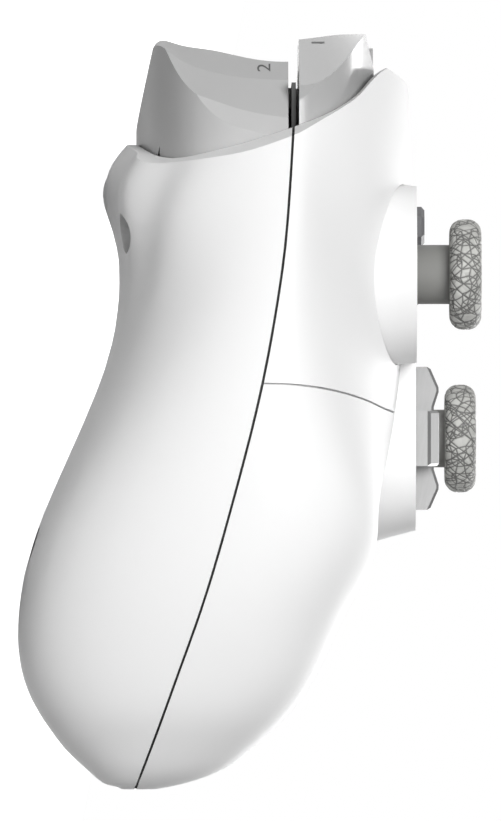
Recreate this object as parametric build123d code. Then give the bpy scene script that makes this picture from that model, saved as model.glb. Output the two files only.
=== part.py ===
from build123d import *

import math
import os

MM = 1.0

# Housing: one reach along the grips, one half span across them
reach = 100.0 * MM
half_span = 78.0 * MM
wall = 2.2 * MM
panel_skin = 1.0 * MM
seat_gap = 0.1 * MM
seam_gap = 0.36 * MM
groove_gap = 0.3 * MM
moving_gap = 0.4 * MM
pin_gap = 0.08 * MM
overrun = 2.0 * MM
rest_tilt = 11.2
bounds_tolerance = 0.05 * MM

# Side view of the housing, as shares of the reach: along the grips, then height
seam_shares = [
    (0.0, 0.163), (0.084, 0.195), (0.167, 0.225), (0.251, 0.255), (0.335, 0.281), (0.418, 0.304),
    (0.502, 0.326), (0.586, 0.345), (0.669, 0.360), (0.753, 0.372), (0.837, 0.379), (0.921, 0.384),
    (1.200, 0.388),
]
rear_shares = [
    (0.0, 0.163), (0.004, 0.137), (0.012, 0.117), (0.028, 0.098), (0.056, 0.068), (0.084, 0.046),
    (0.112, 0.028), (0.139, 0.014), (0.167, 0.006), (0.195, 0.001), (0.223, 0.0), (0.251, 0.003),
    (0.307, 0.011), (0.363, 0.028), (0.418, 0.050), (0.474, 0.074), (0.530, 0.099), (0.586, 0.120),
    (0.642, 0.135), (0.697, 0.140), (0.753, 0.137), (0.809, 0.126), (0.845, 0.1155), (0.857, 0.117),
    (0.890, 0.134), (0.910, 0.156), (0.930, 0.190), (1.200, 0.360),
]
front_shares = [
    (0.0, 0.163), (0.004, 0.205), (0.012, 0.240), (0.028, 0.283), (0.056, 0.323), (0.084, 0.355),
    (0.112, 0.381), (0.139, 0.402), (0.167, 0.418), (0.195, 0.431), (0.223, 0.444), (0.251, 0.458),
    (0.307, 0.489), (0.335, 0.505), (0.420, 0.526), (0.550, 0.538), (0.700, 0.546), (0.854, 0.549),
    (0.940, 0.549), (1.200, 0.550),
]

# Sections across the housing. Each runs from an inner to an outer point of the plan, given as
# shares of the half span and the reach. Then come the depth of its front half at the inner and
# the outer end, the depth of its rear half, and how square its inner and outer shoulders are
section_shares = [
    ((0.0, 0.360), (0.0, 1.200), (1.00, 1.00, 0.98), (3.6, 3.6)),
    ((0.154, 0.360), (0.269, 1.195), (1.00, 1.00, 0.98), (3.6, 3.6)),
    ((0.282, 0.345), (0.545, 1.165), (1.00, 1.00, 0.99), (3.4, 3.2)),
    ((0.378, 0.310), (0.770, 1.060), (1.00, 0.68, 1.00), (3.2, 2.5)),
    ((0.429, 0.270), (0.892, 0.850), (1.00, 0.38, 1.00), (3.0, 2.1)),
    ((0.474, 0.220), (0.974, 0.640), (1.00, 0.57, 1.00), (2.7, 2.1)),
    ((0.510, 0.165), (1.000, 0.440), (1.00, 0.96, 1.00), (2.4, 2.3)),
    ((0.545, 0.115), (0.985, 0.270), (1.00, 1.00, 1.00), (2.3, 2.2)),
    ((0.595, 0.070), (0.935, 0.130), (1.00, 1.00, 1.00), (2.2, 2.1)),
    ((0.650, 0.036), (0.870, 0.052), (1.00, 1.00, 1.00), (2.1, 2.0)),
    ((0.695, 0.012), (0.824, 0.016), (1.00, 1.00, 1.00), (2.0, 2.0)),
    ((0.731, 0.002), (0.786, 0.002), (1.00, 1.00, 1.00), (2.0, 2.0)),
]
shoulder_power = 1.9
section_steps = 8
section_count = 20

# Crown: the rim that the triggers and bumpers stand in, as shares of the reach. Each row has a
# height, how far up the rim lies at its outer end, and how much further it rises at the middle
rim_shares = [
    (-0.10, 0.846, 0.060), (0.08, 0.847, 0.060), (0.14, 0.848, 0.059), (0.187, 0.850, 0.052),
    (0.209, 0.857, 0.048), (0.252, 0.875, 0.044), (0.318, 0.895, 0.041), (0.379, 0.915, 0.038),
    (0.415, 0.926, 0.036), (0.448, 0.936, 0.034), (0.474, 0.948, 0.033), (0.503, 0.974, 0.031),
    (0.54, 0.990, 0.030), (0.70, 1.000, 0.030),
]
rim_span_share = 0.846
rim_fade = 6
rim_station_shares = (-1.05, -0.95, -0.846, -0.76, -0.66, -0.5, -0.25, 0.0)
crown_top_share = 1.30
front_bevel_shares = ((0.560, 0.975), (0.539, 0.994), (0.513, 1.010), (0.480, 1.030), (0.600, 1.060))
bay_shares = (0.331, 0.173, 0.640)
bay_squareness = 3.7
bay_floor_share = 0.80
outline_steps = 28

# Faceplate
face_height = 55.7 * MM
plate_thickness = 2.0 * MM
plate_wall = 1.8 * MM
plate_seat = 47.0 * MM
ledge_thickness = 2.0 * MM
ledge_width = 2.0 * MM
pod_draft = 4.2
platform_draft = 15.0
pod_radius = 12.4 * MM
button_pod_radius = 15.4 * MM
platform_half_width = 35.0 * MM
platform_top = 70.0 * MM
platform_bottom = 36.0 * MM
platform_corner = 9.0 * MM
band_bottom = 60.0 * MM
band_corner = 4.0 * MM

# Sticks
left_stick = (-42.0 * MM, 72.0 * MM)
right_stick = (22.0 * MM, 48.9 * MM)
stick_pivot = 45.0 * MM
stick_tilt = 14.0
stick_press = 0.6 * MM
dome_radius = 10.5 * MM
dome_thickness = 1.0 * MM
dome_angle = 64.0
stem_radius = 4.15 * MM
hub_radius = 3.2 * MM
hub_drop = 6.0 * MM
shaft_radius = 1.8 * MM
shaft_foot = -2.6 * MM
shaft_top = 13.0 * MM
head_radius = 5.4 * MM
head_dish = 1.3 * MM
ring_radius = 7.75 * MM
ring_thickness = 4.5 * MM
ring_bottom = 15.3 * MM
ring_round = 1.9 * MM
ring_inner_round = 0.8 * MM
stick_opening = 8.6 * MM
stick_collar = 11.6 * MM
collar_depth = 5.0 * MM
module_half = 6.0 * MM
module_height = 8.0 * MM
module_wall = 1.0 * MM
module_floor = 1.0 * MM
gimbal_half = (4.4 * MM, 3.9 * MM)
gimbal_window = (2.9 * MM, 2.0 * MM)
gimbal_half_height = 1.6 * MM
gimbal_pin = 1.1 * MM
cross_pin = 0.8 * MM
sensor_size = (7.0 * MM, 2.4 * MM, 3.2 * MM)

# D-pad
dpad = (-22.0 * MM, 49.0 * MM)
dpad_pivot_height = 50.5 * MM
dpad_tilt = 5.0
dpad_reach = 10.1 * MM
dpad_ridge = 6.9 * MM
dpad_saddle = 4.4 * MM
dpad_half_width = 3.9 * MM
dpad_end_height = 2.0 * MM
dpad_ridge_height = 3.4 * MM
dpad_saddle_height = 2.6 * MM
dpad_gap = 0.8 * MM
dpad_edge = 0.35 * MM
flange_radius = 11.4 * MM
flange_thickness = 1.2 * MM
flange_top = 51.8 * MM
ball_radius = 2.2 * MM
ball_gap = 0.2 * MM
socket_radius = 3.6 * MM
socket_depth = 1.0 * MM
peg_radius = 1.4 * MM
peg_circle = 5.4 * MM
peg_foot = 45.6 * MM

# Face buttons
button_cluster = (42.0 * MM, 69.0 * MM)
button_spacing = 8.9 * MM
button_radius = 4.7 * MM
button_gap = 0.15 * MM
button_top = 55.5 * MM
button_foot = 47.0 * MM
button_travel = 1.5 * MM
button_crown = 0.7 * MM
button_flange = (5.7 * MM, 0.9 * MM)
well_radius = 6.2 * MM
well_foot = 49.6 * MM
dish_radius = 14.2 * MM
dish_depth = 2.1 * MM

# Centre buttons and light
view_place = (-12.0 * MM, 79.0 * MM)
centre_button_radius = 2.45 * MM
centre_button_top = 57.1 * MM
centre_button_bevel = 0.45 * MM
home_place = (0.0, 72.0 * MM)
home_radius = 4.0 * MM
home_top = 56.6 * MM
centre_foot = 44.6 * MM
centre_travel = 0.9 * MM
centre_flange = (0.9 * MM, 0.9 * MM)
light_place = (0.0, 62.5 * MM)
light_radius = 0.9 * MM
light_length = 3.4 * MM

# Board, frame, battery and their fixings
board_bottom = 38.9 * MM
board_thickness = 1.6 * MM
board_half_width = 49.5 * MM
board_reach = (42.0 * MM, 81.0 * MM)
board_wing = (56.5 * MM, 56.0 * MM, 73.5 * MM)
board_corner = 3.0 * MM
board_tongue = 8.0 * MM
board_tongue_end = 97.5 * MM
board_foot = (8.0 * MM, 39.8 * MM)
frame_thickness = 2.0 * MM
frame_gap = 0.4 * MM
frame_reach = (39.6 * MM, 82.0 * MM)
frame_shoulder = (19.0 * MM, 88.0 * MM)
frame_rib = (20.0 * MM, 1.6 * MM, 9.0 * MM)
boss_radius = 3.4 * MM
screw_head = (2.4 * MM, 1.5 * MM)
screw_radius = 1.2 * MM
screw_well = 2.8 * MM
screw_length = 14.0 * MM
frame_screw_length = 10.0 * MM
screw_depth = 8.0 * MM
crown_screw = (56.0 * MM, 77.6 * MM)
centre_screw = (16.5 * MM, 43.0 * MM)
grip_screw = (60.0 * MM, 34.0 * MM)
board_screw_places = ((45.0 * MM, 48.0 * MM), (9.0 * MM, 60.0 * MM))
board_screw = (1.9 * MM, 0.9 * MM, 0.9 * MM)
board_pad = 2.6 * MM
battery_size = (40.0 * MM, 30.0 * MM, 10.0 * MM)
battery_bottom_reach = 50.0 * MM

# Sockets
usb_half_width = 4.47 * MM
usb_height = 3.26 * MM
usb_length = 7.35 * MM
usb_mouth = 103.4 * MM
usb_shell = 0.3 * MM
usb_round = 1.2 * MM
usb_tongue = (3.35 * MM, 0.7 * MM, 5.8 * MM)
plug_gap = 0.3 * MM
jack_height = 36.0 * MM
jack_bore = 1.8 * MM
jack_nose = 3.0 * MM
jack_nose_end = 35.9 * MM
jack_half_width = 3.4 * MM
jack_body = (39.4 * MM, 49.6 * MM)
jack_depth = 12.5 * MM

# Triggers
trigger_span = (19.0 * MM, 50.0 * MM, 57.0 * MM, 62.4 * MM, 66.0 * MM)
trigger_front = 37.7 * MM
trigger_shares = (
    ((0.188, 1.036), (0.198, 1.046), (0.220, 1.042), (0.265, 1.034), (0.321, 1.022), (0.377, 1.017)),
    ((0.188, 1.034), (0.198, 1.036), (0.218, 1.024), (0.265, 1.003), (0.321, 0.993), (0.377, 0.990)),
    ((0.188, 1.019), (0.198, 1.005), (0.218, 0.984), (0.253, 0.968), (0.305, 0.950), (0.377, 0.937)),
)
trigger_fall = 8.0 * MM
trigger_foot = (16.2 * MM, 83.5 * MM)
trigger_heel = (30.0 * MM, 88.6 * MM)
trigger_wall = 1.8 * MM
trigger_room = ((21.8 * MM, 99.5 * MM), (32.4 * MM, 97.0 * MM))
trigger_notch = 87.0 * MM
trigger_pivot = (36.0 * MM, 93.0 * MM)
trigger_pull = 16.0
axle_radius = 1.0 * MM
hub_boss = 1.9 * MM
axle_span = (16.4 * MM, 52.0 * MM)
inner_bracket = (16.2 * MM, 18.5 * MM)
outer_bracket = (40.0 * MM, 42.4 * MM)
bracket_half = 2.5 * MM
slot_span = (39.5 * MM, 48.6 * MM)
spring_span = (43.0 * MM, 47.8 * MM)
spring_wire = 0.35 * MM
spring_coil = 1.75 * MM
spring_turns = 5
web_height = (38.15 * MM, 38.75 * MM)
web_span = (20.0 * MM, 61.0 * MM)
web_end = 98.6 * MM
sensor_board = (26.0 * MM, 36.0 * MM, 70.0 * MM, 80.0 * MM, 1.0 * MM)

# Bumpers
bumper_span = (12.2 * MM, 40.0 * MM, 62.2 * MM, 66.0 * MM)
bumper_rear = 39.2 * MM
bumper_shares = (
    ((0.392, 1.052), (0.425, 1.056), (0.453, 1.058), (0.470, 1.0585), (0.483, 1.059)),
    ((0.392, 1.050), (0.425, 1.054), (0.453, 1.057), (0.470, 1.0575), (0.484, 1.058)),
    ((0.392, 0.982), (0.425, 0.987), (0.453, 1.001), (0.474, 1.021), (0.490, 1.048)),
)
bumper_fall = 8.0 * MM
bumper_front = (49.8 * MM, 101.0 * MM)
bumper_foot = 90.5 * MM
bumper_wall = 1.8 * MM
bumper_room = (101.2 * MM, (46.2 * MM, 101.8 * MM), 99.5 * MM)
bumper_room_end = 48.2 * MM
bumper_turn = 1.3
bumper_pivot = (10.0 * MM, 96.5 * MM)
bumper_lug = (8.4 * MM, 2.0 * MM, 40.6 * MM, 47.0 * MM)
bumper_pin = (0.75 * MM, 39.9 * MM, 48.2 * MM)
plunger = (45.0 * MM, 49.0 * MM, 40.2 * MM, 44.0 * MM, 91.25 * MM)
switch_shelf = (43.0 * MM, 51.0 * MM, 84.0 * MM, 86.0 * MM, 44.6 * MM)
switch_size = (6.0 * MM, 3.4 * MM, 5.4 * MM)
switch_button = (1.7 * MM, 0.9 * MM)

# Bridge between the bumpers
bridge_rear_half = 18.4 * MM
bridge_front_half = 11.7 * MM
bridge_foot = 88.0 * MM
bridge_rear_foot = 16.9 * MM
bridge_rear_shares = ((0.184, 0.966), (0.250, 0.978), (0.320, 0.984), (0.386, 0.986))
bridge_top = 104.4 * MM
bridge_front = 49.8 * MM

# Rumble motors
motor_place = (59.0 * MM, 20.5 * MM)
motor_radius = 6.0 * MM
motor_height = (6.2 * MM, 20.0 * MM)
motor_shaft = (0.8 * MM, 28.0 * MM)
weight_radius = 8.0 * MM
weight_height = (21.6 * MM, 27.0 * MM)
weight_hub = 2.4 * MM
cradle_wall = 1.2 * MM
cradle_top = 18.0 * MM

# Grip panels
panel_line = (
    (82.0 * MM, 57.4 * MM), (73.0 * MM, 55.8 * MM), (62.0 * MM, 54.4 * MM), (48.0 * MM, 53.0 * MM),
    (37.6 * MM, 52.4 * MM),
)
panel_inner = 37.6 * MM

# Membranes
membrane_thickness = 0.8 * MM
membrane_gap = 0.05 * MM
dome_foot = 2.8 * MM
dome_crown = 2.2 * MM
small_dome_foot = 1.8 * MM
small_dome_crown = 1.2 * MM


def smooth(table, share, power=1.0):
    """Value of a table at a share, by a cubic through its neighbours."""
    xs = [row[0] ** power for row in table]
    ys = [row[1] for row in table]
    x = min(max(share, table[0][0]), table[-1][0]) ** power
    i = max(k for k in range(len(xs) - 1) if xs[k] <= x)
    slopes = []
    for k in (i, i + 1):
        low = max(k - 1, 0)
        high = min(k + 1, len(xs) - 1)
        slopes.append((ys[high] - ys[low]) / (xs[high] - xs[low]))
    step = xs[i + 1] - xs[i]
    t = (x - xs[i]) / step
    hold = 2 * t**3 - 3 * t**2 + 1
    rise = t**3 - 2 * t**2 + t
    settle = t**3 - t**2
    return hold * ys[i] + rise * step * slopes[0] + (1 - hold) * ys[i + 1] + settle * step * slopes[1]


def seam_height(y):
    return reach * smooth(seam_shares, y / reach)


def section(inner, outer, depths, squareness, inset, side):
    """One closed section of the housing: a front and a rear curve that meet on the seam."""
    start = Vector(side * inner[0] * half_span, inner[1] * reach)
    end = Vector(side * outer[0] * half_span, outer[1] * reach)
    along = (end - start).normalized()
    start = start + along * inset
    end = end - along * inset
    curves = []
    for face in (1, -1):
        points = []
        for k in range(2 * section_steps + 1):
            angle = math.pi * k / (2 * section_steps)
            square = squareness[0] if k <= section_steps else squareness[1]
            reach_out = (abs(math.cos(angle)) ** square + math.sin(angle) ** square) ** (1 / square)
            share = 0.5 - 0.5 * math.cos(angle) / reach_out
            swell = math.sin(angle) / reach_out
            if k in (0, 2 * section_steps):
                swell = 0.0
            spot = start + (end - start) * share
            y_share = max(spot.Y / reach, 0.0)
            middle = smooth(seam_shares, y_share)
            if face > 0:
                edge = smooth(front_shares, y_share, 0.5)
                depth = depths[0] + (depths[1] - depths[0]) * share**shoulder_power
            else:
                edge = smooth(rear_shares, y_share, 0.5)
                depth = depths[2]
            rise = abs(edge - middle) * reach * depth - inset
            z = middle * reach + face * max(rise, 0.0) * swell
            points.append(Vector(spot.X, spot.Y, z))
        steps = [k / (2 * section_steps) for k in range(2 * section_steps + 1)]
        curves.append(Edge.make_spline(points, parameters=steps))
    return Wire(curves)


def section_row(place):
    """Section values at a place between the middle, 0, and the last section, 1."""
    last = len(section_shares) - 1
    columns = []
    for group in range(4):
        size = len(section_shares[0][group])
        values = []
        for k in range(size):
            table = [(i / last, section_shares[i][group][k]) for i in range(last + 1)]
            values.append(smooth(table, place))
        columns.append(tuple(values))
    return columns


def body_loft(inset):
    """The closed housing form, drawn in by an inset."""
    rows = [section_row(k / section_count) for k in range(section_count + 1)]
    right = [section(*row, inset, 1) for row in rows]
    left = [section(*row, inset, -1) for row in rows[1:]]
    return Solid.make_loft(left[::-1] + right)


def block(x, y, z):
    """A box between two values on each axis."""
    size = (x[1] - x[0], y[1] - y[0], z[1] - z[0])
    return Location((x[0], y[0], z[0])) * Solid.make_box(*size)


def post(x, y, z, radius):
    """A cylinder that stands on the face's normal."""
    return Solid.make_cylinder(radius, z[1] - z[0], Plane((x, y, z[0])))


def side_wire(x, corners, top=None):
    """A closed wire across the housing at one x, from points of height and reach."""
    points = [Vector(x, y, z) for z, y in corners]
    edges = [Edge.make_line(a, b) for a, b in zip(points, points[1:])]
    if top:
        edges.append(Edge.make_spline([Vector(x, y, z) for z, y in top]))
    else:
        edges.append(Edge.make_line(points[-1], points[0]))
    return Wire(edges)


def side_prism(x, corners):
    """A prism along x of a polygon of height and reach."""
    return extrude(Face(side_wire(x[0], corners)), x[1] - x[0], (1, 0, 0))


def mirrored(shape):
    return mirror(shape, Plane.YZ)


def rim_point(z_share, x_share):
    """Reach of the crown's rim at a height and a place across."""
    base = smooth([(row[0], row[1]) for row in rim_shares], z_share)
    lift = smooth([(row[0], row[2]) for row in rim_shares], z_share)
    return base + lift * (1 - abs(x_share / rim_span_share) ** rim_fade)


def above_rim():
    """Everything above the crown's rim."""
    shares = list(rim_station_shares) + [-share for share in rim_station_shares[-2::-1]]
    wires = []
    for x_share in shares:
        top = [(row[0] * reach, rim_point(row[0], x_share) * reach) for row in rim_shares]
        lid = crown_top_share * reach
        corners = [top[-1], (top[-1][0], lid), (top[0][0], lid), top[0]]
        wires.append(side_wire(x_share * half_span, corners, top))
    return Solid.make_loft(wires)


def plan_outline(y, middle, rear, front, half_width, squareness):
    """A rounded box outline across the housing at one reach."""
    points = []
    for k in range(outline_steps):
        angle = 2 * math.pi * k / outline_steps
        c = math.cos(angle)
        s = math.sin(angle)
        radius = (abs(c) ** squareness + abs(s) ** squareness) ** (-1 / squareness)
        depth = front if s > 0 else rear
        points.append(Vector(half_width * c * radius, y, middle + depth * s * radius))
    return Wire([Edge.make_spline(points, periodic=True)])


def bay_prism(inset, y):
    """The crown's bay, drawn in by an inset, between two values of reach."""
    middle, depth, width = (share * reach for share in bay_shares)
    outline = plan_outline(y[0], middle, depth - inset, depth - inset, width - inset, bay_squareness)
    return extrude(Face(outline), y[1] - y[0], (0, 1, 0))


def seam_side(z_gap, front):
    """All that lies in front of the seam, or behind it, beyond half the seam's gap."""
    points = []
    for y_share, z_share in seam_shares:
        points.append((z_share * reach + z_gap, y_share * reach))
    start = (2 * points[0][0] - points[1][0], -points[1][1])
    end = crown_top_share * reach
    points = [start] + points + [(points[-1][0], end)]
    far = reach if front else -reach
    corners = [points[-1], (far, end), (far, start[1]), start]
    x = half_span + wall + overrun
    return extrude(Face(side_wire(-x, corners, points)), 2 * x, (1, 0, 0))


def cluster(place, spacing):
    """Four places round a centre: top, right, bottom, left."""
    x, y = place
    return ((x, y + spacing), (x + spacing, y), (x, y - spacing), (x - spacing, y))


def drafted_disc(place, radius, grow, base):
    x, y = place
    height = face_height - base
    foot = radius + grow + height * math.tan(math.radians(pod_draft))
    return Solid.make_cone(foot, radius + grow, height, Plane((x, y, base)))


def drafted_slab(x, y, corner, grow, base, draft):
    """A rounded slab whose walls slope outward below the face."""
    spread = (face_height - base) * math.tan(math.radians(draft))
    wires = []
    for z, out in ((base, grow + spread), (face_height, grow)):
        width = x[1] - x[0] + 2 * out
        height = y[1] - y[0] + 2 * out
        middle = ((x[0] + x[1]) / 2, (y[0] + y[1]) / 2, z)
        outline = Plane(middle) * RectangleRounded(width, height, corner + out)
        wires.append(outline.faces()[0].outer_wire())
    return Solid.make_loft(wires, ruled=True)


def plate_form(grow, base):
    """The faceplate's outer form: two pods, the band between them and the lower platform."""
    band = (left_stick[0], button_cluster[0])
    band_y = (band_bottom, left_stick[1] + pod_radius)
    side = platform_half_width
    low = (platform_bottom, platform_top)
    form = drafted_slab((-side, side), low, platform_corner, grow, base, platform_draft)
    form = form + drafted_slab(band, band_y, band_corner, grow, base, pod_draft)
    form = form + drafted_disc(left_stick, pod_radius, grow, base)
    return form + drafted_disc(button_cluster, button_pod_radius, grow, base)


def boss_places(place):
    x, y = place
    return ((-x, y), (x, y))


def screw_seats():
    """Each screw's place, the top of the rear post it pulls on, its head's seat and its end."""
    frame_bottom = board_bottom - frame_gap - frame_thickness
    grip_top = seam_height(grip_screw[1]) - seam_gap / 2
    seats = []
    for place, top, length in (
        (crown_screw, frame_bottom, screw_length),
        (centre_screw, frame_bottom, frame_screw_length),
        (grip_screw, grip_top, screw_length),
    ):
        seat = top - screw_depth
        for x, y in boss_places(place):
            seats.append((x, y, top, seat, seat + length))
    return seats


def panel_region(grow, side):
    """The area of a grip panel on one side, as a prism through the face."""
    line = [Vector(side * x, y + grow) for x, y in panel_line]
    top = Edge.make_spline(line)
    inner = side * (panel_inner - grow)
    corners = [Vector(inner, line[-1].Y), Vector(inner, -reach), Vector(line[0].X, -reach), line[0]]
    edges = [top, Edge.make_line(line[-1], corners[0])] if grow else [top]
    edges += [Edge.make_line(a, b) for a, b in zip(corners, corners[1:])]
    return extrude(Face(Wire(edges)), 2 * reach, (0, 0, 1))


def make_housing():
    """Front and rear shells, with the grip panels laid into the front one."""
    outer = body_loft(0.0) - above_rim()
    across = (-half_span, half_span)
    bevel = [(z * reach, y * reach) for z, y in front_bevel_shares]
    outer = outer - side_prism(across, bevel)
    floor = bay_floor_share * reach
    bay = bay_prism(0.0, (floor, crown_top_share * reach))
    full_cavity = body_loft(wall)
    cavity = full_cavity - block((-reach, reach), (floor, 2 * reach), (-reach, reach))
    front = outer & seam_side(seam_gap / 2, True)
    rear = outer & seam_side(-seam_gap / 2, False)

    under_skin = body_loft(panel_skin + seat_gap)
    skin = front - body_loft(panel_skin)
    recess = front - under_skin
    plate_hole = plate_form(seat_gap, plate_seat - overrun)
    panel = skin & panel_region(0.0, 1)
    front = front - bay - cavity
    for side in (-1, 1):
        front = front - (recess & panel_region(groove_gap, side))

    ledge = plate_form(ledge_width, plate_seat - ledge_thickness)
    ledge = ledge & block((-reach, reach), (0, reach), (plate_seat - ledge_thickness, plate_seat))
    ledge = (ledge & full_cavity) - plate_form(-ledge_width, plate_seat - ledge_thickness)
    front = front + ledge

    rear = rear - bay - cavity
    rear_room = full_cavity & seam_side(-seam_gap / 2, False)
    front_room = full_cavity & seam_side(seam_gap / 2, True)
    for x, y, top, seat, end in screw_seats():
        rear = rear + (post(x, y, (-overrun, top), boss_radius) & rear_room)
        if (abs(x), y) == crown_screw:
            start = board_bottom - frame_gap
            front = front + (post(x, y, (start, face_height), boss_radius) & front_room)
        if (abs(x), y) == grip_screw:
            start = seam_height(y) + seam_gap / 2
            front = front + (post(x, y, (start, face_height), boss_radius) & front_room)
    front = front - plate_hole
    for x, y in boss_places(motor_place):
        tube = post(x, y, (-overrun, cradle_top), motor_radius + moving_gap + cradle_wall)
        rear = rear + (tube & rear_room) - post(x, y, (motor_height[0], reach), motor_radius + pin_gap)
    for x, y, top, seat, end in screw_seats():
        rear = rear - post(x, y, (-reach, seat), screw_well)
        rear = rear - post(x, y, (seat - overrun, top + overrun), screw_radius + pin_gap)
        front = front - post(x, y, (top - overrun, end + seat_gap), screw_radius)
    mouth = Plane((0, jack_nose_end - wall, jack_height), z_dir=(0, 1, 0))
    front = front - Solid.make_cylinder(jack_nose + seat_gap, 4 * wall, mouth)
    return front, rear, panel


def hex_prism(place, z, across, bevel):
    """A six sided button with bevelled edges."""
    x, y = place
    outline = Plane((x, y, z[0])) * RegularPolygon(across, 6, major_radius=False, rotation=90)
    body = extrude(outline.faces()[0], z[1] - z[0])
    return chamfer(body.edges().group_by(Axis.Z)[-1], bevel) if bevel else body


def make_faceplate():
    """The raised plate with its stick collars, button wells and openings."""
    inner_top = face_height - plate_thickness
    under = plate_form(-plate_wall, plate_seat - overrun)
    under = under & block((-reach, reach), (0, reach), (plate_seat - overrun, inner_top))
    plate = plate_form(0.0, plate_seat) - under
    for x, y in (left_stick, right_stick):
        plate = plate + post(x, y, (face_height - collar_depth, face_height), stick_collar)
        plate = plate - Solid.make_sphere(dome_radius + moving_gap, Plane((x, y, stick_pivot)))
        plate = plate - post(x, y, (stick_pivot, face_height + overrun), stick_opening)
    x, y = button_cluster
    dish_floor = face_height - dish_depth
    plate = plate + post(x, y, (dish_floor - plate_thickness, face_height), button_pod_radius)
    plate = plate - post(x, y, (dish_floor, face_height + overrun), dish_radius)
    for x, y in cluster(button_cluster, button_spacing):
        plate = plate + post(x, y, (well_foot, dish_floor), well_radius)
    for x, y in cluster(button_cluster, button_spacing):
        plate = plate - post(x, y, (well_foot - overrun, face_height), button_radius + button_gap)
        flange_room = button_flange[0] + button_gap
        plate = plate - post(x, y, (well_foot - overrun, well_foot + button_flange[1]), flange_room)
    x, y = dpad
    long = dpad_reach + dpad_gap
    narrow = dpad_half_width + dpad_gap
    z = (plate_seat, face_height + overrun)
    plate = plate - block((x - long, x + long), (y - narrow, y + narrow), z)
    plate = plate - block((x - narrow, x + narrow), (y - long, y + long), z)
    for place in boss_places(view_place):
        plate = plate - hex_prism(place, z, centre_button_radius + button_gap, 0)
    plate = plate - post(*home_place, z, home_radius + button_gap)
    return plate - post(*light_place, z, light_radius + seat_gap)


def make_stick(name, place, parts):
    """One stick: its housing, the two crossed pivots and the cap with its ring."""
    x, y = place
    board_top = board_bottom + board_thickness
    h = module_half
    floor = (board_top, board_top + module_floor)
    top = board_top + module_height
    body = block((x - h, x + h), (y - h, y + h), (board_top, top))
    w = h - module_wall
    body = body - block((x - w, x + w), (y - w, y + w), (floor[1], top + overrun))
    line = Plane((x - h - overrun / 2, y, stick_pivot), z_dir=(1, 0, 0))
    body = body - Solid.make_cylinder(gimbal_pin + pin_gap, 2 * h + overrun, line)
    long, deep, tall = sensor_size
    body = body + block((x - h - deep, x - h), (y - long / 2, y + long / 2), (board_top, board_top + tall))
    body = body + block((x - long / 2, x + long / 2), (y + h, y + h + deep), (board_top, board_top + tall))
    parts[name + "_stick_module"] = body

    gx, gy = gimbal_half
    wx, wy = gimbal_window
    z = (stick_pivot - gimbal_half_height, stick_pivot + gimbal_half_height)
    gimbal = block((x - gx, x + gx), (y - gy, y + gy), z) - block((x - wx, x + wx), (y - wy, y + wy), z)
    for side in (-1, 1):
        stub = Plane((x + side * (gx - module_wall / 2), y, stick_pivot), z_dir=(side, 0, 0))
        gimbal = gimbal + Solid.make_cylinder(gimbal_pin, h - gx + module_wall / 2, stub)
    line = Plane((x, y - gy - overrun / 2, stick_pivot), z_dir=(0, 1, 0))
    cross = Solid.make_cylinder(cross_pin + pin_gap, 2 * gy + overrun, line)
    parts[name + "_stick_gimbal"] = gimbal - cross

    shaft = post(x, y, (stick_pivot + shaft_foot, stick_pivot + shaft_top), shaft_radius)
    pin = Solid.make_cylinder(cross_pin, 2 * gy, Plane((x, y - gy, stick_pivot), z_dir=(0, 1, 0)))
    parts[name + "_stick_shaft"] = shaft + pin

    centre = Plane((x, y, stick_pivot))
    lean = 90 - dome_angle
    dome = Solid.make_sphere(dome_radius, centre, lean)
    dome = dome - Solid.make_sphere(dome_radius - dome_thickness, centre)
    head_bottom = stick_pivot + ring_bottom
    head_top = head_bottom + ring_thickness - ring_inner_round
    stem = post(x, y, (stick_pivot + hub_drop, stick_pivot + dome_radius), hub_radius)
    inside = stick_pivot + dome_radius - dome_thickness / 2
    stem = stem + post(x, y, (inside, head_bottom + ring_inner_round), stem_radius)
    head = post(x, y, (head_bottom, head_top), head_radius)
    sag = head_radius**2 / (2 * head_dish)
    head = head - Solid.make_sphere(sag, Plane((x, y, head_top + sag - head_dish)))
    cap = dome + stem + head
    bore = (stick_pivot, stick_pivot + shaft_top + stick_press + seat_gap)
    parts[name + "_stick_cap"] = cap - post(x, y, bore, shaft_radius + pin_gap)

    inner = head_radius + membrane_gap
    z = (head_bottom, head_bottom + ring_thickness)
    band = post(x, y, z, ring_radius)
    band = fillet(band.edges().filter_by(GeomType.CIRCLE), ring_round)
    parts[name + "_stick_ring"] = band - post(x, y, z, inner)


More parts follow.
